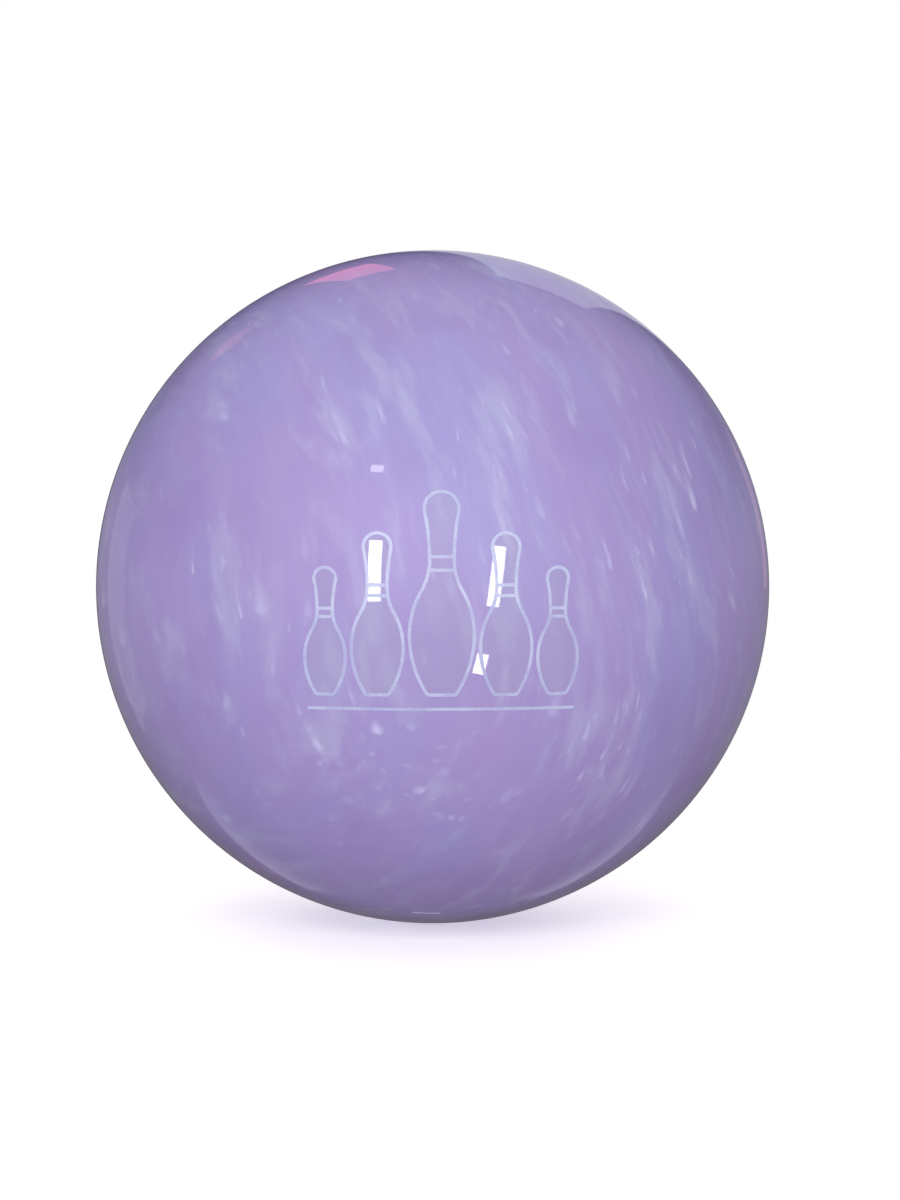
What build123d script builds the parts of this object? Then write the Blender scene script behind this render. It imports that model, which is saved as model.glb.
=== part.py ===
from build123d import *

import os
from math import cos, radians, sin, sqrt

# Undrilled bowling ball of three-piece construction, in millimetres.
#
# A pancake weight block is cast into one side of a light filler sphere. That core hangs on a locating
# rod while the cover is cast round it, and the rod's hole is then filled with a plug of another colour,
# which is called the pin. The cover is engraved, and each engraving is filled with enamel.
#
# Frame: the origin is the ball's centre, +Z runs up through the middle of the weight block, and -Y runs
# out through the middle of the emblem.

# Ball and core
ball_diameter = 218.0
cover_thickness = 20.0
ball_radius = ball_diameter / 2
core_radius = ball_radius - cover_thickness

# Weight block: a disc with a domed top that carries on the core's sphere
block_diameter = 108.0
block_thickness = 27.0
block_corner = 7.0
block_draft = 4.0  # how much narrower the block is at its floor, on the radius
block_radius = block_diameter / 2
block_floor = core_radius - block_thickness

# Pin: the plug in the hole that the locating rod left
pin_diameter = 12.7
pin_from_mark = 25.4  # along the ball's surface, towards +Y
pin_depth_in_block = 15.0
pin_tip_cone = 118.0  # point angle of the drill that cleans out the hole
pin_radius = pin_diameter / 2

# Engravings
engraving_depth = 0.6
enamel_recess = 0.15  # the enamel dries this far below the ball's surface
balance_mark_diameter = 3.2
stroke_width = 1.0

# Emblem: a row of skittle outlines, tallest in the middle, above a lane line
skittle_heights = (37.0, 47.0, 59.0, 47.0, 37.0)
skittle_gap = 1.8  # between the widest points of neighbours
lane_drop = 4.2  # from the skittles' feet to the lane line
lane_length = 78.0

# Skittle proportions, as shares of its height. Widths are half widths.
foot_share = 0.058  # of the flat that it stands on
heel_arc = 0.020
belly_share = 0.159
belly_level = 0.300
belly_arc = 0.420
neck_share = 0.060
neck_level = 0.667
head_share = 0.085
band_levels = (0.615, 0.680)

# The spheres' poles and seams lie on the X axis and under the ball, clear of every mark
pole_turn = (0, 90, 0)
clear_of_ball = 5.0

engraving_radius = ball_radius - engraving_depth
enamel_radius = ball_radius - enamel_recess
pin_lean = pin_from_mark / ball_radius
pin_plane = Plane(origin=(0, 0, 0), z_dir=(0, sin(pin_lean), cos(pin_lean)))
pin_foot = core_radius - pin_depth_in_block
skittle_widths = [2 * belly_share * height for height in skittle_heights]
row_width = sum(skittle_widths) + skittle_gap * (len(skittle_heights) - 1)
emblem_height = max(skittle_heights) + lane_drop
feet_level = lane_drop - emblem_height / 2


# Arcs of one side of a skittle, as shares of its height. They run into each other: the two arcs that
# meet at the belly stand upright there, as do the two that meet at the neck.
heel_middle = (foot_share, heel_arc)
foot_reach = belly_share - foot_share
foot_rise = belly_level - heel_arc
foot_arc = (foot_reach**2 + foot_rise**2 - heel_arc**2) / (2 * (foot_reach - heel_arc))
foot_middle = (belly_share - foot_arc, belly_level)
belly_middle = (belly_share - belly_arc, belly_level)
neck_inset = neck_share - belly_middle[0]
neck_rise = neck_level - belly_level
low_hollow = (neck_inset**2 + neck_rise**2 - belly_arc**2) / (2 * (belly_arc - neck_inset))
low_middle = (neck_share + low_hollow, neck_level)
head_middle = (0.0, 1 - head_share)
head_rise = head_middle[1] - neck_level
high_hollow = (neck_share**2 + head_rise**2 - head_share**2) / (2 * (head_share - neck_share))
high_middle = (neck_share + high_hollow, neck_level)


def between(first, second, share):
    """The point a share of the way from first to second."""
    return tuple(a + (b - a) * share for a, b in zip(first, second))


def skittle_outline(height, growth):
    """A filled skittle that stands on the sketch's origin, grown by a width all round."""
    grown = growth / height
    shares = [
        (foot_share, -grown),
        between(foot_middle, heel_middle, (foot_arc + grown) / (foot_arc - heel_arc)),
        (belly_share + grown, belly_level),
        between(belly_middle, low_middle, (belly_arc + grown) / (belly_arc + low_hollow)),
        (neck_share + grown, neck_level),
        between(high_middle, head_middle, (high_hollow - grown) / (high_hollow + head_share)),
        (0.0, 1 + grown),
    ]
    foot, heel, belly, shoulder, neck, chin, crown = [(height * x, height * y) for x, y in shares]
    with BuildSketch() as outline:
        with BuildLine():
            Line((0, foot[1]), foot)
            taper = TangentArc(belly, heel, tangent=(0, -1))
            TangentArc(taper @ 1, foot, tangent=taper % 1)
            bulge = TangentArc(belly, shoulder, tangent=(0, 1))
            TangentArc(bulge @ 1, neck, tangent=bulge % 1)
            hollow = TangentArc(neck, chin, tangent=(0, 1))
            TangentArc(hollow @ 1, crown, tangent=hollow % 1)
            mirror(about=Plane.YZ)
        make_face()
    return outline.sketch


def skittle_strokes(height):
    """The skittle as engraved lines, which are its outline and two bands round the neck."""
    outer = skittle_outline(height, stroke_width / 2)
    inner = skittle_outline(height, -stroke_width / 2)
    with BuildSketch() as bands:
        with Locations(*[(0, level * height) for level in band_levels]):
            Rectangle(height, stroke_width)
        add(inner, mode=Mode.INTERSECT)
    with BuildSketch() as strokes:
        add(outer)
        add(inner, mode=Mode.SUBTRACT)
        add(bands.sketch)
    return strokes.sketch


def standing_strokes(sketch):
    """Strokes as columns that stand out of the ball, down to the floor of the engraving."""
    with BuildPart() as columns:
        extrude(sketch, amount=ball_radius + clear_of_ball)
        Sphere(engraving_radius, rotation=pole_turn, mode=Mode.SUBTRACT)
    return columns.part


def enamel_in(columns):
    """The enamel that fills engraved strokes almost to the ball's surface."""
    with BuildPart() as enamel:
        add(columns)
        Sphere(enamel_radius, rotation=pole_turn, mode=Mode.INTERSECT)
    return enamel.part


# Engraved strokes, each figure on its own, as columns. The emblem is drawn on the front plane.
engravings = {}
skittle_left = -row_width / 2
for number, (height, width) in enumerate(zip(skittle_heights, skittle_widths), start=1):
    strokes = skittle_strokes(height)
    with BuildSketch(Plane.XZ) as skittle:
        with Locations((skittle_left + width / 2, feet_level)):
            add(strokes)
    engravings[f"enamel_skittle_{number}"] = standing_strokes(skittle.sketch)
    skittle_left += width + skittle_gap

with BuildSketch(Plane.XZ) as lane_line:
    with Locations((0, feet_level - lane_drop)):
        SlotOverall(lane_length, stroke_width)
engravings["enamel_lane_line"] = standing_strokes(lane_line.sketch)

# Balance mark: a dot over the heavy spot, which is the middle of the weight block
with BuildSketch(Plane.XY) as balance_mark:
    Circle(balance_mark_diameter / 2)
engravings["enamel_balance_mark"] = standing_strokes(balance_mark.sketch)

# Pin, and the hole that it fills
tip_rise = pin_radius * cos(radians(pin_tip_cone / 2)) / sin(radians(pin_tip_cone / 2))
with BuildPart(pin_plane) as pin_cutter:
    with BuildSketch(pin_plane.offset(pin_foot + tip_rise)):
        Circle(pin_radius)
    extrude(amount=ball_radius + clear_of_ball - pin_foot - tip_rise)
    with Locations((0, 0, pin_foot)):
        Cone(0, pin_radius, tip_rise, align=(Align.CENTER, Align.CENTER, Align.MIN))

with BuildPart() as pin_plug:
    add(pin_cutter.part)
    Sphere(ball_radius, rotation=pole_turn, mode=Mode.INTERSECT)

# Weight block
block_shoulder = sqrt(core_radius**2 - block_radius**2)
with BuildPart() as block_body:
    with BuildSketch(Plane.XZ) as block_profile:
        with BuildLine():
            floor = Line((0, block_floor), (block_radius - block_draft, block_floor))
            side = Line(floor @ 1, (block_radius, block_shoulder))
            RadiusArc(side @ 1, (0, core_radius), -core_radius)
            Line((0, core_radius), (0, block_floor))
        make_face()
        corner = block_profile.vertices().sort_by(Axis.Y)[:2].sort_by(Axis.X)[-1]
        fillet(corner, block_corner)
    revolve(axis=Axis.Z)

with BuildPart() as weight_block:
    add(block_body.part)
    add(pin_cutter.part, mode=Mode.SUBTRACT)

# Filler sphere, cast round the weight block
with BuildPart() as filler_core:
    Sphere(core_radius, rotation=pole_turn)
    add(block_body.part, mode=Mode.SUBTRACT)

# Cover
with BuildPart() as coverstock:
    Sphere(ball_radius, rotation=pole_turn)
    Sphere(core_radius, rotation=pole_turn, mode=Mode.SUBTRACT)
    add(pin_cutter.part, mode=Mode.SUBTRACT)
    for columns in engravings.values():
        add(columns, mode=Mode.SUBTRACT)

finished = {
    "coverstock": coverstock.part,
    "filler_core": filler_core.part,
    "weight_block": weight_block.part,
    "pin_plug": pin_plug.part,
}
for label, columns in engravings.items():
    finished[label] = enamel_in(columns)

os.makedirs("parts", exist_ok=True)
for label, piece in finished.items():
    piece.label = label
    export_step(piece, f"parts/{label}.step")
    print(label, len(piece.solids()), "solids", round(piece.volume, 1), "mm3")
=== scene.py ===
import math

import bpy
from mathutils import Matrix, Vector


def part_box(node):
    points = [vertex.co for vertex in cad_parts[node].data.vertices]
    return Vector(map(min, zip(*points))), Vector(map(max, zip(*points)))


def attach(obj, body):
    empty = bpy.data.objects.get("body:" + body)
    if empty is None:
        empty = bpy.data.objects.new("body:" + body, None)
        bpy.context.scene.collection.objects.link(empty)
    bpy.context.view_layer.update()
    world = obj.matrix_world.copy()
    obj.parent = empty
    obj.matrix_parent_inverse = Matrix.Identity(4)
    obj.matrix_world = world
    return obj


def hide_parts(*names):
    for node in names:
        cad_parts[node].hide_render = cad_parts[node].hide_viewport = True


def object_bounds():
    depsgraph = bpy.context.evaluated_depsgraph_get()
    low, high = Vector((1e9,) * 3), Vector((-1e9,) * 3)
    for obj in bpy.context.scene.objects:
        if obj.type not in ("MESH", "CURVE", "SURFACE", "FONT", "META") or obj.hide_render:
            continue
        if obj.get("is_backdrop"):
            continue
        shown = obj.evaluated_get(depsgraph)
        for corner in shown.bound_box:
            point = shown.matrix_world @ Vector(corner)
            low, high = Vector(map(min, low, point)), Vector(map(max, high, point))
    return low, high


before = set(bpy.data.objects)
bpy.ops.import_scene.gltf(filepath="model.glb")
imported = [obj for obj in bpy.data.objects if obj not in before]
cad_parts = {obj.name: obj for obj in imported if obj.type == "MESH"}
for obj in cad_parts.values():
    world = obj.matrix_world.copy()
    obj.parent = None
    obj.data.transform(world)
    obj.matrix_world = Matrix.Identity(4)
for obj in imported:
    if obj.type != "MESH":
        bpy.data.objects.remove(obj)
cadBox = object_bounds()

print("frame loaded,", len(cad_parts), "nodes")

mm = 0.001
ballRadius = max(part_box("coverstock")[1])
coreRadius = max(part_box("filler_core")[1])
up = Vector((0, 0, 1))
front = Vector((0, -1, 0))
enamelNodes = sorted(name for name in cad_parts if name.startswith("enamel_"))


class Wire:  # an output socket that takes part in sums; each sum adds its Math node
    def __init__(self, bench, socket):
        self.bench = bench
        self.socket = socket

    def __add__(self, other):
        return self.bench.sum("ADD", self, other)

    def __sub__(self, other):
        return self.bench.sum("SUBTRACT", self, other)

    def __rsub__(self, other):
        return self.bench.sum("SUBTRACT", other, self)

    def __mul__(self, other):
        return self.bench.sum("MULTIPLY", self, other)

    def __truediv__(self, other):
        return self.bench.sum("DIVIDE", self, other)

    def __pow__(self, other):
        return self.bench.sum("POWER", self, other)

    __radd__ = __add__
    __rmul__ = __mul__


class Bench:  # a node tree being wired up
    def __init__(self, tree):
        self.tree = tree

    def node(self, kind, settings=None, sockets=None, take=0):
        made = self.tree.nodes.new(kind)
        for name, value in (settings or {}).items():
            if name == "stops":
                self.setStops(made.color_ramp, value)
            else:
                setattr(made, name, value)
        for name, value in (sockets or {}).items():
            self.feed(made.inputs[name], value)
        if isinstance(take, tuple):
            return [Wire(self, made.outputs[name]) for name in take]
        return Wire(self, made.outputs[take]) if len(made.outputs) else made

    def feed(self, socket, value):
        if isinstance(value, (list, tuple)) and value and isinstance(value[0], Wire):
            for wire in value:  # a socket that takes several links
                self.tree.links.new(wire.socket, socket)
        elif isinstance(value, Wire):
            self.tree.links.new(value.socket, socket)
        elif socket.type == "RGBA":
            socket.default_value = (*value[:3], 1)
        else:
            socket.default_value = value

    def setStops(self, ramp, stops):
        for place, _ in stops[len(ramp.elements):]:
            ramp.elements.new(place)
        for element, (place, tint) in zip(ramp.elements, stops):
            element.position = place
            element.color = (*tint, 1)

    def sum(self, operation, *terms):
        return self.node("ShaderNodeMath", {"operation": operation}, dict(enumerate(terms)))

    def vector(self, operation, *terms, take="Vector"):
        return self.node("ShaderNodeVectorMath", {"operation": operation}, dict(enumerate(terms)), take)

    def step(self, value, low, high, lowOut=0.0, highOut=1.0):  # smooth step from low to high
        settings = {"interpolation_type": "SMOOTHSTEP"}
        sockets = {"Value": value, "From Min": low, "From Max": high, "To Min": lowOut, "To Max": highOut}
        return self.node("ShaderNodeMapRange", settings, sockets, "Result")

    def colours(self, share, first, second, how="MIX"):  # second over first, by share
        settings = {"data_type": "RGBA", "blend_type": how}
        return self.node("ShaderNodeMix", settings, {0: share, 6: first, 7: second}, 2)

    def noise(self, where, scale, detail=2.0, w=None, roughness=0.5, take="Fac"):
        settings = {"noise_dimensions": "3D" if w is None else "4D"}
        sockets = {"Vector": where, "Scale": scale, "Detail": detail, "Roughness": roughness}
        if w is not None:
            sockets["W"] = w
        return self.node("ShaderNodeTexNoise", settings, sockets, take)


def linear(hexColour):  # "#rrggbb" as a linear colour
    shares = [int(hexColour[k:k + 2], 16) / 255 for k in (1, 3, 5)]
    return tuple(c / 12.92 if c <= 0.04045 else ((c + 0.055) / 1.055) ** 2.4 for c in shares)


def newMaterial(name):
    material = bpy.data.materials.new(name)
    material.use_nodes = True
    material.node_tree.nodes.clear()
    return material, Bench(material.node_tree)


def finishMaterial(material, bench, sockets):
    shader = bench.node("ShaderNodeBsdfPrincipled", None, sockets, "BSDF")
    bench.node("ShaderNodeOutputMaterial", None, {"Surface": shader})
    return material


def objectPlace(bench):
    return bench.node("ShaderNodeTexCoord", None, None, "Object")


# Pearl cover: lilac resin with pearl pigment that was poured down the sides and round the bottom
pearl = {
    "lilac": "#a798cc",
    "periwinkle": "#a39bcf",
    "plum": "#9d8ac1",
    "rose": "#ab97ca",
    "mist": "#b9bad8",
    "streak": "#dadcf5",
    "wash": "#a3a2bd",  # the faint wash of enamel inside the skittles
    "speck": "#5d5470",
    "turnBelow": 22 * mm,  # the pour turns round a line this far under the ball's middle
    "turnSoftness": 20 * mm,
    "wander": 7 * mm,
    "wanderSize": 60 * mm,
    "lean": 0.2,  # how much the pour leans to the left as it rises
    "flare": 1.6,  # how much it spreads as it rises, per metre
    "slant": 1.3,  # how much its depth turns with its width
    "topBlue": 0.6,  # how fast the clouds turn periwinkle towards the top, per metre
    "cloudSize": 38 * mm,
    "cloudDraw": 0.5,  # the smaller a draw, the longer a shape is drawn out along the pour
    "plumShare": 0.4,
    "roseShare": 0.5,
    "mistSize": 13 * mm,
    "mistDraw": 0.38,
    "mistShare": 0.5,
    "dabSize": 6 * mm,
    "dabDraw": 0.6,
    "dabShare": 0.42,
    "ribbonWidth": 9 * mm,
    "ribbonShare": 0.08,
    "silkWidth": 3.4 * mm,
    "silkShare": 0.09,
    "silkDraw": 0.16,
    "silkDepthDraw": 0.7,
    "streakWidth": 7.5 * mm,  # of the lattice cells that hold the largest streaks
    "streakLength": 30 * mm,
    # width and length as shares of the largest, the share of cells that hold a streak, and its brightness
    "streakSizes": [(1.0, 1.0, 0.55, 0.72), (0.62, 0.6, 0.3, 0.52), (0.36, 0.28, 0.12, 0.28)],
    # right of and above the front's middle, and reach, in millimetres
    "swarms": [(-64, 5, 26), (-67, -35, 15), (-34, -34, 30), (0, -60, 13), (62, 3, 27), (70, 38, 25),
               (50, -45, 26), (-28, 50, 17), (17, 48, 19)],
    "washShare": 0.3,
    "speckSpacing": 24 * mm,
    "speckShare": 0.8,
    "relief": 0.3 * mm,
    "reliefStrength": 0.15,
    "roughness": 0.48,
    "roughnessPlay": 0.06,  # above and below
    "metallic": 0.05,
    "polishRoughness": 0.025,
    "resinIndex": 1.54,
}


def pourPlace(bench, where):
    # the pour's own coordinates: across it, along it, and through it
    drift = bench.noise(where, 1 / pearl["wanderSize"], 5.0, take="Color")
    drift = bench.vector("SUBTRACT", drift, (0.5, 0.5, 0.5))
    drift = bench.vector("MULTIPLY", drift, (2 * pearl["wander"],) * 3)
    moved = bench.vector("ADD", where, drift)
    x, y, z = bench.node("ShaderNodeSeparateXYZ", None, {"Vector": moved}, ("X", "Y", "Z"))
    height = z + pearl["turnBelow"]
    below = bench.sum("SMOOTH_MIN", height, 0.0, pearl["turnSoftness"])
    above = height - below
    x = x + above * (pearl["lean"] + x * pearl["flare"])
    across = (x * x + below * below) ** 0.5
    along = above + bench.sum("ARCTAN2", below, bench.sum("ABSOLUTE", x)) * across
    return across, along, y + x * pearl["slant"]


def drawnOut(bench, pour, draw):
    across, along, depth = pour
    return bench.node("ShaderNodeCombineXYZ", None, {0: across, 1: along * draw, 2: depth})


def streaks(bench, pour, width, length, share, seed):
    # comets in some cells of a stretched lattice: a faint tail above and a bright, blunt head below
    across, along, depth = pour
    place = {0: across / width + seed, 1: along / length, 2: depth / width}
    cell = bench.node("ShaderNodeCombineXYZ", None, place)
    sockets = {"Vector": cell, "Scale": 1.0, "Randomness": 1.0}
    colour, centre = bench.node("ShaderNodeTexVoronoi", None, sockets, ("Color", "Position"))
    offset = bench.vector("SUBTRACT", cell, centre)
    u, v, d = bench.node("ShaderNodeSeparateXYZ", None, {"Vector": offset}, ("X", "Y", "Z"))
    chance, size, glow = bench.node("ShaderNodeSeparateColor", None, {"Color": colour}, (0, 1, 2))
    head = bench.step(v, -0.42, -0.36) * bench.step(v, -0.1, -0.33)
    tail = bench.step(v, -0.42, -0.32) * bench.step(v, 0.35, -0.3)
    thin = (0.06 + 0.14 * tail + 0.06 * head) * (0.4 + 1.2 * size)
    body = bench.step(bench.sum("ABSOLUTE", u) / thin, 1.0, 0.0)
    body = body * bench.step(bench.sum("ABSOLUTE", d), 0.5, 0.1)
    picked = bench.step(chance, 1 - share, 1 - share + 0.05)
    return body * (tail * 0.45 + head * 0.85) * picked * (0.3 + 0.7 * glow)


def gathering(bench, where):
    # how much pigment has gathered here: in swarms on the front, and wherever it settled on the back
    gathered = bench.noise(where, 1.2 / pearl["cloudSize"], 1.0)
    depth = bench.node("ShaderNodeSeparateXYZ", None, {"Vector": where}, "Y")
    gathered = bench.step(gathered, 0.42, 0.58) * bench.step(depth, -60 * mm, 10 * mm, 0.25, 0.65)
    for right, above, reach in pearl["swarms"]:
        place = Vector((right * mm, 0, above * mm))
        place.y = -math.sqrt(ballRadius ** 2 - place.length_squared)
        near = bench.vector("DISTANCE", where, tuple(place), take="Value")
        gathered = bench.sum("MAXIMUM", gathered, bench.step(near, reach * mm, reach * 0.35 * mm))
    return gathered


def pearlMaterial():
    material, bench = newMaterial("poured pearl resin")
    where = objectPlace(bench)
    pour = pourPlace(bench, where)

    # soft clouds of the resin's tones, drawn out along the pour
    stretched = drawnOut(bench, pour, pearl["cloudDraw"])
    cloud = bench.noise(stretched, 1 / pearl["cloudSize"], 2.0)
    shade = bench.noise(where, 1 / pearl["cloudSize"], 2.0)
    height = bench.node("ShaderNodeSeparateXYZ", None, {"Vector": where}, "Z")
    tone = bench.step(cloud + height * pearl["topBlue"], 0.38, 0.62)
    colour = bench.colours(tone, linear(pearl["lilac"]), linear(pearl["periwinkle"]))
    plumShare = bench.step(shade, 0.52, 0.34) * pearl["plumShare"]
    colour = bench.colours(plumShare, colour, linear(pearl["plum"]))
    blush = bench.noise(stretched, 0.7 / pearl["cloudSize"], 1.0, roughness=0.4, take="Color")
    blush = bench.node("ShaderNodeSeparateColor", None, {"Color": blush}, "Green")
    roseShare = bench.step(blush, 0.52, 0.66) * pearl["roseShare"]
    colour = bench.colours(roseShare, colour, linear(pearl["rose"]))

    # mist: torn, paler wisps
    torn = drawnOut(bench, pour, pearl["mistDraw"])
    wisp = bench.noise(torn, 1 / pearl["mistSize"], 5.0, roughness=0.52)
    gathered = gathering(bench, where)
    mist = bench.step(wisp + gathered * 0.1, 0.52, 0.78)
    colour = bench.colours(mist * pearl["mistShare"], colour, linear(pearl["mist"]))

    # dabs: small, pale blots where the pigment gathered
    blot = drawnOut(bench, pour, pearl["dabDraw"])
    dab = bench.noise(blot, 1 / pearl["dabSize"], 3.0, roughness=0.55)
    dab = bench.step(dab, 0.57, 0.7) * bench.step(wisp, 0.45, 0.62) * gathered
    colour = bench.colours(dab * pearl["dabShare"], colour, linear(pearl["streak"]))

    # silk: broad ribbons and fine threads of pigment, drawn out a little through the pour as well
    across, along, depth = pour
    thread = drawnOut(bench, (across, along, depth * pearl["silkDepthDraw"]), pearl["silkDraw"])
    ribbon = bench.noise(thread, 1 / pearl["ribbonWidth"], 1.0)
    ribbonLight = bench.step(ribbon, 0.46, 0.68)
    colour = bench.colours(ribbonLight * pearl["ribbonShare"], colour, linear(pearl["mist"]))
    silk = bench.noise(thread, 1 / pearl["silkWidth"], 2.0, roughness=0.6)
    silkLight = bench.step(silk, 0.45, 0.8) * (0.25 + 0.75 * gathered)
    colour = bench.colours(silkLight * pearl["silkShare"], colour, linear(pearl["streak"]))

    # streaks in three sizes, most of them where the pigment gathered
    streak = 0.0
    for k, (width, length, share, glow) in enumerate(pearl["streakSizes"]):
        width, length = width * pearl["streakWidth"], length * pearl["streakLength"]
        streak = streak + streaks(bench, pour, width, length, share, 4.7 * k) * glow
    streak = streak * (0.2 + 0.8 * gathered)
    colour = bench.colours(streak, colour, linear(pearl["streak"]))

    # the wash of enamel inside the skittles, and a few specks
    wash = bench.node("ShaderNodeAttribute", {"attribute_name": "wash"}, None, "Fac")
    colour = bench.colours(wash * pearl["washShare"], colour, linear(pearl["wash"]))
    sockets = {"Vector": where, "Scale": 1 / pearl["speckSpacing"]}
    near, lot = bench.node("ShaderNodeTexVoronoi", None, sockets, ("Distance", "Color"))
    lot = bench.node("ShaderNodeSeparateColor", None, {"Color": lot}, "Red")
    speck = bench.step(near, 0.026, 0.016) * bench.step(lot, 0.6, 0.62)
    colour = bench.colours(speck * pearl["speckShare"], colour, linear(pearl["speck"]))

    relief = silk * 0.6 + streak * 0.4
    sockets = {"Strength": pearl["reliefStrength"], "Distance": pearl["relief"], "Height": relief}
    normal = bench.node("ShaderNodeBump", None, sockets)
    dull, sleek = pearl["roughness"] + pearl["roughnessPlay"], pearl["roughness"] - pearl["roughnessPlay"]
    sockets = {
        "Base Color": colour,
        "Metallic": pearl["metallic"],
        "Roughness": bench.step(silk, 0.3, 0.8, dull, sleek),
        "Normal": normal,
        "IOR": pearl["resinIndex"],
        "Specular IOR Level": 0.3,
        "Coat Weight": 1.0,
        "Coat Roughness": pearl["polishRoughness"],
        "Coat IOR": pearl["resinIndex"],
    }
    return finishMaterial(material, bench, sockets)


# Cover: a ball of evenly spread facets with the core's hollow in it, engraved and bored
cover = {
    "outerFacets": 88,  # along each edge of the cube that the ball is swelled from
    "innerFacets": 44,
    "lift": 2 * mm,  # how far the cutting shapes stand out of the ball
    "skin": 0.3 * mm,  # what lies this near the surface belongs to it
    "rimBend": 0.35,  # radians; an edge that bends more than this is a rim
    "weld": 0.001 * mm,
    "patchArea": 40 * mm * 40 * mm,  # polished patches smaller than this lie inside the skittles
}


def swelledBall(bench, radius, facets):
    sockets = {"Size": (2, 2, 2), "Vertices X": facets, "Vertices Y": facets, "Vertices Z": facets}
    cube = bench.node("GeometryNodeMeshCube", None, sockets, "Mesh")
    where = bench.node("GeometryNodeInputPosition")
    angle = bench.vector("MULTIPLY", where, (math.pi / 4,) * 3)  # equal angles, so that the facets stay even
    outward = bench.vector("NORMALIZE", bench.vector("TANGENT", angle))
    place = bench.node("ShaderNodeVectorMath", {"operation": "SCALE"}, {"Vector": outward, "Scale": radius})
    return bench.node("GeometryNodeSetPosition", None, {"Geometry": cube, "Position": place})


def cuttingShape(bench, node, axis, skinStart, lift):
    # the CAD piece that fills a recess, with its outer face lifted clear of the ball
    shape = bench.node("GeometryNodeObjectInfo", None, {"Object": node}, "Geometry")
    shape = bench.node("GeometryNodeMergeByDistance", None, {"Geometry": shape, "Distance": cover["weld"]})
    distance = bench.vector("LENGTH", bench.node("GeometryNodeInputPosition"), take="Value")
    isFace = bench.node("FunctionNodeCompare", {"operation": "GREATER_THAN"}, {0: distance, 1: skinStart})
    sockets = {"Vector": tuple(axis), "Scale": lift}
    offset = bench.node("ShaderNodeVectorMath", {"operation": "SCALE"}, sockets)
    sockets = {"Geometry": shape, "Selection": isFace, "Offset": offset}
    return bench.node("GeometryNodeSetPosition", None, sockets)


def recessAxis(name):
    if name.startswith("pin_plug"):
        low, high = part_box(name)
        middle = (low + high) / 2
        return Vector((0, middle.y, middle.z)).normalized()
    return up if name == "enamel_balance_mark" else front


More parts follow.
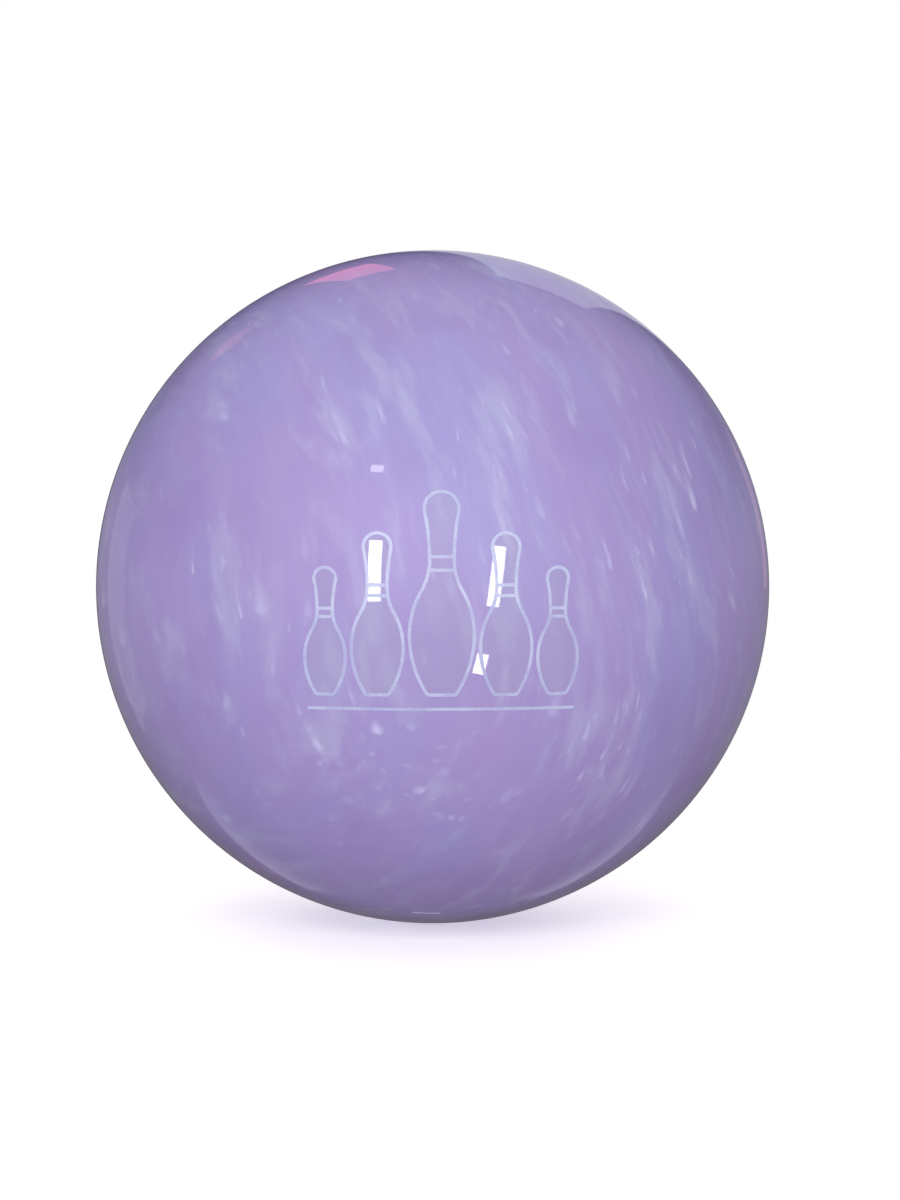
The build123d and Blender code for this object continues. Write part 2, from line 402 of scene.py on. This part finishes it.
def coverTree(material):
    tree = bpy.data.node_groups.new("engraved cover", "GeometryNodeTree")
    face = tree.interface
    face.new_socket("Cover", in_out="OUTPUT", socket_type="NodeSocketGeometry")
    for name, kind in (("Ball radius", "Float"), ("Core radius", "Float"), ("Outer facets", "Int"),
                       ("Inner facets", "Int"), ("Lift", "Float"), ("Skin", "Float"),
                       ("Patch area", "Float")):
        face.new_socket(name, in_out="INPUT", socket_type="NodeSocket" + kind)
    bench = Bench(tree)
    inputs = bench.node("NodeGroupInput", None, None, tuple(range(7)))
    radius, core, outer, inner, lift, skin, patchArea = inputs

    hollow = bench.node("GeometryNodeFlipFaces", None, {"Mesh": swelledBall(bench, core, inner)})
    outside = swelledBall(bench, radius, outer)
    blank = bench.node("GeometryNodeJoinGeometry", None, {"Geometry": [outside, hollow]})
    skinStart = radius - skin
    cutters = [cuttingShape(bench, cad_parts[name], recessAxis(name), skinStart, lift)
               for name in (*enamelNodes, "pin_plug")]
    settings = {"operation": "DIFFERENCE", "solver": "MANIFOLD"}
    cut = bench.node("GeometryNodeMeshBoolean", settings, {"Mesh 1": blank, "Mesh 2": cutters}, "Mesh")

    # polished faces shade as the true ball, and the cut walls and floors as they lie
    where = bench.node("GeometryNodeInputPosition")
    outward = bench.vector("NORMALIZE", where)
    isPolished = bench.node("FunctionNodeCompare", {"operation": "GREATER_THAN"},
                            {0: bench.vector("LENGTH", where, take="Value"), 1: radius - skin / 4})
    settings = {"domain": "FACE", "data_type": "FLOAT"}
    isPolished = bench.node("GeometryNodeFieldOnDomain", settings, {0: isPolished})
    isPolished = bench.node("FunctionNodeCompare", {"operation": "GREATER_THAN"}, {0: isPolished, 1: 0.99})
    flat = bench.node("GeometryNodeFieldOnDomain", {"domain": "FACE", "data_type": "FLOAT_VECTOR"},
                      {0: bench.node("GeometryNodeInputNormal", None, None, "True Normal")})
    normal = bench.node("GeometryNodeSwitch", {"input_type": "VECTOR"}, {0: isPolished, 1: flat, 2: outward})
    bend = bench.node("GeometryNodeInputMeshEdgeAngle", None, None, "Unsigned Angle")
    isRim = bench.node("FunctionNodeCompare", {"operation": "GREATER_THAN"}, {0: bend, 1: cover["rimBend"]})
    sockets = {"Geometry": cut, "Selection": isRim, "Shade Smooth": False}
    edged = bench.node("GeometryNodeSetShadeSmooth", {"domain": "EDGE"}, sockets)
    settings = {"mode": "FREE", "domain": "CORNER"}
    shaded = bench.node("GeometryNodeSetMeshNormal", settings, {"Mesh": edged, "Custom Normal": normal})

    # the polished patches that the outlines close off carry the wash
    patch = bench.node("GeometryNodeEdgesToFaceGroups", None, {"Boundary Edges": isRim})
    sockets = {"Value": bench.node("GeometryNodeInputMeshFaceArea"), "Group ID": patch}
    area = bench.node("GeometryNodeAccumulateField", {"domain": "FACE"}, sockets, "Total")
    isClosedOff = bench.node("FunctionNodeCompare", {"operation": "LESS_THAN"}, {0: area, 1: patchArea})
    isWashed = bench.node("FunctionNodeBooleanMath", {"operation": "AND"}, {0: isClosedOff, 1: isPolished})
    sockets = {"Geometry": shaded, "Name": "wash", "Value": isWashed}
    shaded = bench.node("GeometryNodeStoreNamedAttribute", {"domain": "FACE", "data_type": "FLOAT"}, sockets)
    real = bench.node("GeometryNodeRealizeInstances", None, {"Geometry": shaded})
    done = bench.node("GeometryNodeSetMaterial", None, {"Geometry": real, "Material": material})
    bench.node("NodeGroupOutput", None, {"Cover": done})
    return tree


def treeResult(name, tree, values):
    # runs a tree on an empty mesh and keeps the plain mesh that comes out
    maker = bpy.data.objects.new(name + " maker", bpy.data.meshes.new(name + " maker"))
    bpy.context.scene.collection.objects.link(maker)
    modifier = maker.modifiers.new(name, "NODES")
    modifier.node_group = tree
    for item in tree.interface.items_tree:
        if item.in_out == "INPUT":
            modifier[item.identifier] = values[item.name]
    mesh = bpy.data.meshes.new_from_object(maker.evaluated_get(bpy.context.evaluated_depsgraph_get()))
    bpy.data.objects.remove(maker)
    mesh.name = name
    piece = bpy.data.objects.new(name, mesh)
    bpy.context.scene.collection.objects.link(piece)
    return piece


def makeCover():
    values = {
        "Ball radius": ballRadius,
        "Core radius": coreRadius,
        "Outer facets": cover["outerFacets"] + 1,
        "Inner facets": cover["innerFacets"] + 1,
        "Lift": cover["lift"],
        "Skin": cover["skin"],
        "Patch area": cover["patchArea"],
    }
    piece = treeResult("pearl_cover", coverTree(pearlMaterial()), values)
    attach(piece, "root")
    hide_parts("coverstock")
    print("cover made,", len(piece.data.polygons), "faces")


# Enamel, pin, core and block keep their CAD shapes
enamel = {
    "colour": "#c9cfe6",
    "mottle": "#b4b9d9",
    "patchSize": 9 * mm,
    "grainSize": 0.5 * mm,
    "roughness": 0.34,
    "relief": 0.03 * mm,
    "coat": 0.0,
}
pinResin = {
    "colour": "#e9e6ee",
    "mottle": "#cfc8dc",
    "patchSize": 14 * mm,
    "grainSize": 2 * mm,
    "roughness": 0.25,
    "relief": 0.01 * mm,
    "coat": 1.0,
}
filler = {
    "colour": "#a59c92",
    "mottle": "#8d857d",
    "patchSize": 30 * mm,
    "grainSize": 1.2 * mm,
    "roughness": 0.8,
    "relief": 0.2 * mm,
    "coat": 0.0,
}
blockResin = {
    "colour": "#3c4f7c",
    "mottle": "#2c3a5e",
    "patchSize": 20 * mm,
    "grainSize": 0.8 * mm,
    "roughness": 0.6,
    "relief": 0.1 * mm,
    "coat": 0.0,
}


def mottledMaterial(name, finish):
    # two tones that mingle in patches and in grain, with a relief that follows the grain
    material, bench = newMaterial(name)
    where = objectPlace(bench)
    patches = bench.noise(where, 1 / finish["patchSize"], 3.0)
    grain = bench.noise(where, 1 / finish["grainSize"], 3.0)
    mingled = bench.step(patches * 0.5 + grain * 0.5, 0.4, 0.6)
    low, high = finish["roughness"] - 0.06, finish["roughness"] + 0.06
    sockets = {"Strength": 0.5, "Distance": finish["relief"], "Height": grain}
    normal = bench.node("ShaderNodeBump", None, sockets)
    sockets = {
        "Base Color": bench.colours(mingled, linear(finish["colour"]), linear(finish["mottle"])),
        "Roughness": bench.step(grain, 0.3, 0.7, low, high),
        "Normal": normal,
        "Coat Weight": finish["coat"],
        "Coat Roughness": 0.03,
    }
    return finishMaterial(material, bench, sockets)


def dress(names, material):
    for name in names:
        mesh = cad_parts[name].data
        mesh.materials.clear()
        mesh.materials.append(material)


def dressInsides():
    dress(enamelNodes, mottledMaterial("wiped enamel", enamel))
    dress(["pin_plug"], mottledMaterial("plug resin", pinResin))
    dress(["filler_core"], mottledMaterial("bubble-filled resin", filler))
    dress(["weight_block"], mottledMaterial("mineral-filled resin", blockResin))
    print("enamel, pin, core and block dressed")


# Studio
view = {
    "lens": 85.0,  # on a sensor 36 wide
    "distance": 924 * mm,
    "left": 1.38,  # degrees round from straight ahead
    "above": 2.13,  # degrees
    "aimRight": 5.59 * mm,  # the ball sits a little left of and above the frame's middle
    "aimDown": 4.27 * mm,
}
studio = {
    "floorRadius": 0.7,
    "floorCorners": 64,
    "floorFade": (0.9, 0.4),  # where it has faded and where it starts to, as shares of its radius
    "floorColour": "#f6f4ec",
    "floorGlow": 0.42,
    "airAbove": "#c0bdc8",
    "airBelow": "#dad0e8",
    "roomBands": [(-1.0, "#6a6660"), (-0.45, "#5f5a57"), (-0.1, "#88828e"), (0.06, "#8f879c"),
                  (0.27, "#2b2547"), (0.62, "#4b4467"), (1.0, "#a3a0ac")],  # as the polish shows it
    "roomFront": "#bdbbc4",
    "roomBehind": "#3b3444",
    "table": "#b3afbf",
    "softLights": {  # right of the front and above, in degrees, distance, size, and what a white card gets
        "key": (-7, 24, 1.5, (1.1, 0.8), 0.56),
        "top": (0, 88, 1.4, (1.6, 1.6), 0.05),
        "back left fill": (-140, 30, 1.6, (1.0, 1.0), 0.19),
        "back right fill": (140, 30, 1.6, (1.0, 1.0), 0.23),
    },
    "cardDistance": 4.0,
    "cards": {  # right, above, width, height and roll in degrees, radiance, and colour
        "left strip": (-20.2, 7.1, 4.3, 19.2, 0, 18.0, "#ffffff"),
        "right strip": (19.2, 5.3, 4.0, 19.0, -8.8, 18.0, "#ffffff"),
        "low lamp": (14.8, -22.5, 3.8, 6.6, -10, 18.0, "#ffffff"),
        "high window": (-23.5, 39.9, 4.0, 2.4, 0, 6.0, "#ffffff"),
        "rose screen": (-170.6, 35.5, 7, 13, 0, 1.15, "#f4829f"),
        "far rose screen": (-147.5, 32.5, 6, 6.5, 0, 0.5, "#f4829f"),
        "pale wall": (168.3, 24, 13, 37, 22, 0.6, "#e4e8f2"),
        "left doorway": (-135, -4, 17, 30, 0, 0.27, "#d5d8ea"),
        "right screen": (153, 4, 6, 12, 0, 0.3, "#e3a9c0"),
        "sill": (179.5, -38.2, 2.8, 0.8, 0, 1.0, "#ffffff"),
    },
}


def directionFrom(right, above):  # from the ball, degrees round to the right of the front and up
    a, e = math.radians(right), math.radians(above)
    return Vector((math.sin(a) * math.cos(e), -math.cos(a) * math.cos(e), math.sin(e)))


def makeCamera():
    data = bpy.data.cameras.new("camera")
    data.lens = view["lens"]
    camera = bpy.data.objects.new("camera", data)
    bpy.context.scene.collection.objects.link(camera)
    towards = directionFrom(-view["left"], view["above"])
    camera.location = towards * view["distance"]
    right = up.cross(towards).normalized()
    aim = right * view["aimRight"] - towards.cross(right) * view["aimDown"]
    camera.rotation_euler = (aim - camera.location).to_track_quat("-Z", "Y").to_euler()
    bpy.context.scene.camera = camera


def areaLight(name, towards, distance, size, power, colour=(1, 1, 1), roll=0.0):
    data = bpy.data.lights.new(name, "AREA")
    data.shape = "RECTANGLE"
    data.size, data.size_y = size
    data.energy = power
    data.color = colour
    lamp = bpy.data.objects.new(name, data)
    bpy.context.scene.collection.objects.link(lamp)
    lamp.location = towards * distance
    turn = (-towards).to_track_quat("-Z", "Y").to_euler()
    turn.rotate_axis("Z", math.radians(roll))
    lamp.rotation_euler = turn
    lamp.visible_camera = False
    return lamp


def makeLights():
    for name, (right, above, distance, size, level) in studio["softLights"].items():
        power = level * (math.pi * distance) ** 2
        lamp = areaLight(name, directionFrom(right, above), distance, size, power)
        lamp.visible_glossy = False  # it lights the ball without showing in the polish

    distance = studio["cardDistance"]
    for name, (right, above, width, height, roll, radiance, tint) in studio["cards"].items():
        size = [2 * distance * math.tan(math.radians(angle / 2)) for angle in (width, height)]
        power = radiance * size[0] * size[1] * math.pi
        lamp = areaLight(name, directionFrom(right, above), distance, size, power, linear(tint), roll)
        lamp.visible_diffuse = False  # it only shows in the polish


def makeFloor():
    mesh = bpy.data.meshes.new("floor")
    count, reach = studio["floorCorners"], studio["floorRadius"]
    ring = [(reach * math.cos(2 * math.pi * k / count), reach * math.sin(2 * math.pi * k / count),
             cadBox[0][2]) for k in range(count)]
    mesh.from_pydata(ring, [], [list(range(count))])
    floor = bpy.data.objects.new("floor", mesh)
    bpy.context.scene.collection.objects.link(floor)
    material, bench = newMaterial("pale floor")
    where = objectPlace(bench)
    tone = bench.noise(where, 3.0)
    paler = tuple(0.98 * c for c in linear(studio["floorColour"]))
    reachShare = bench.vector("LENGTH", where, take="Value") / reach
    sockets = {
        "Base Color": bench.colours(tone, linear(studio["floorColour"]), paler),
        "Roughness": 0.9,
        "Emission Color": (1, 1, 1),
        "Emission Strength": studio["floorGlow"],
        "Alpha": bench.step(reachShare, *studio["floorFade"]),
    }
    mesh.materials.append(finishMaterial(material, bench, sockets))
    floor.visible_glossy = False
    floor.visible_diffuse = False
    floor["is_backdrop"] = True


def makeWorld():
    world = bpy.data.worlds.new("studio air")
    world.use_nodes = True
    world.node_tree.nodes.clear()
    bpy.context.scene.world = world
    bench = Bench(world.node_tree)
    isSeen, isGloss = bench.node("ShaderNodeLightPath", None, None, ("Is Camera Ray", "Is Glossy Ray"))
    where = bench.node("ShaderNodeTexCoord", None, None, "Generated")
    x, y, z = bench.node("ShaderNodeSeparateXYZ", None, {"Vector": where}, ("X", "Y", "Z"))
    bands = [(level * 0.5 + 0.5, linear(tint)) for level, tint in studio["roomBands"]]
    glossTone = bench.node("ShaderNodeValToRGB", {"stops": bands}, {"Fac": z * 0.5 + 0.5}, "Color")
    glossTone = bench.colours(bench.step(y, 0.3, -0.9), glossTone, linear(studio["roomFront"]))
    glossTone = bench.colours(bench.step(y, 0.96, 0.985), glossTone, linear(studio["roomBehind"]))
    farShare = bench.sum("ABSOLUTE", x) / (1 - z * z) ** 0.5  # how far to the side it lies
    table = bench.step(z, -0.72, -0.55) * bench.step(z, -0.525, -0.545) * bench.step(y, 0, 0.2)
    table = table * bench.step(farShare, 0.2, 0.27) * bench.step(farShare, 0.85, 0.65)
    glossTone = bench.colours(table, glossTone, linear(studio["table"]))
    airTone = bench.colours(bench.step(z, -0.6, 0.3), linear(studio["airBelow"]), linear(studio["airAbove"]))
    tone = bench.colours(isGloss, airTone, glossTone)
    tone = bench.colours(isSeen, tone, (1.0, 1.0, 1.0))
    light = bench.node("ShaderNodeBackground", None, {"Color": tone, "Strength": 1.0}, "Background")
    bench.node("ShaderNodeOutputWorld", None, {"Surface": light})


def makeStudio():
    bpy.context.scene.view_settings.view_transform = "Standard"
    makeCamera()
    makeFloor()
    makeWorld()
    makeLights()
    print("studio made")


makeCover()
dressInsides()
makeStudio()

boxes = {"cad": cadBox, "visual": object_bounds()}
boxes = {name: [list(corner) for corner in box] for name, box in boxes.items()}
